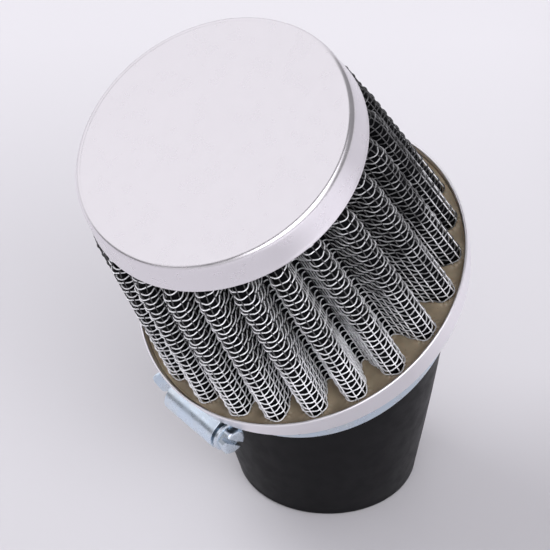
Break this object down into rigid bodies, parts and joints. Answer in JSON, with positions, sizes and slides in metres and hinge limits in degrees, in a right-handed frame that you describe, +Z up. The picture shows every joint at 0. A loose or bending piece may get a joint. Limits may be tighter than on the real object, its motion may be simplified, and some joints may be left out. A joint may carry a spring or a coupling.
{
  "type": "motorcycle air filter",
  "caption": "Clamp-on conical air filter with a pleated mesh-covered element, metal end cap and base pan, and an angled rubber neck held by a worm-drive clamp.",
  "frame": {"origin": "under the middle of the part's outline, on the plane that the neck's foot stands on", "axes": "+Z runs up out of the neck's foot, along the intake bore. The filter head leans towards -X. +Y is square to both; apart from the clamp's screw and the pleats' small unevenness the part is the same on both sides of it."},
  "size_m": [0.0922, 0.08, 0.1278],
  "materials": {
    "neck_rubber": "matt moulded",
    "cap_steel": "satin plated sheet",
    "pan_steel": "satin plated sheet",
    "wire_cloth": "bright woven wire",
    "filter_cloth": "black oiled cloth",
    "resin": "cast tan resin",
    "clamp_zinc": "blue zinc plated",
    "screw_zinc": "blue zinc plated"
  },
  "bodies": {
    "neck": {"rubber_neck": "neck_rubber"},
    "head": {"end_cap": "cap_steel", "cap_resin": "resin", "outer_wire_cloth": "wire_cloth", "filter_cloth": "filter_cloth", "inner_wire_cloth": "wire_cloth", "seam_clip": "wire_cloth", "base_pan": "pan_steel", "base_resin": "resin", "spigot": "pan_steel"},
    "clamp": {"clamp_band": "clamp_zinc", "clamp_saddle": "clamp_zinc", "clamp_housing": "clamp_zinc"},
    "tail": {"clamp_tail": "clamp_zinc"},
    "screw": {"worm_screw": "screw_zinc"}
  },
  "joints": [
    {"name": "head_swivel", "type": "hinge", "parent": "neck", "child": "head", "pos_m": [0.00876, 0, 0.06394], "axis": [-0.5, 0, 0.866], "continuous": true},
    {"name": "clamp_turn", "type": "hinge", "parent": "neck", "child": "clamp", "pos_m": [0.01451, 0, 0.05098], "axis": [-0.5, 0, 0.866], "continuous": true},
    {"name": "screw_turn", "type": "hinge", "parent": "clamp", "child": "screw", "pos_m": [-0.01757, 0.00521, 0.03246], "axis": [0.1205, 0.9903, 0.0696], "range_deg": [-180, 720]},
    {"name": "tail_feed", "type": "slide", "parent": "clamp", "child": "tail", "axis": [0.1205, 0.9903, 0.0696], "range_m": [-0.001, 0.004]}
  ],
  "couplings": [
    {"joint": "tail_feed", "follows": "screw_turn", "m_per_rad": 0.0003183}
  ]
}
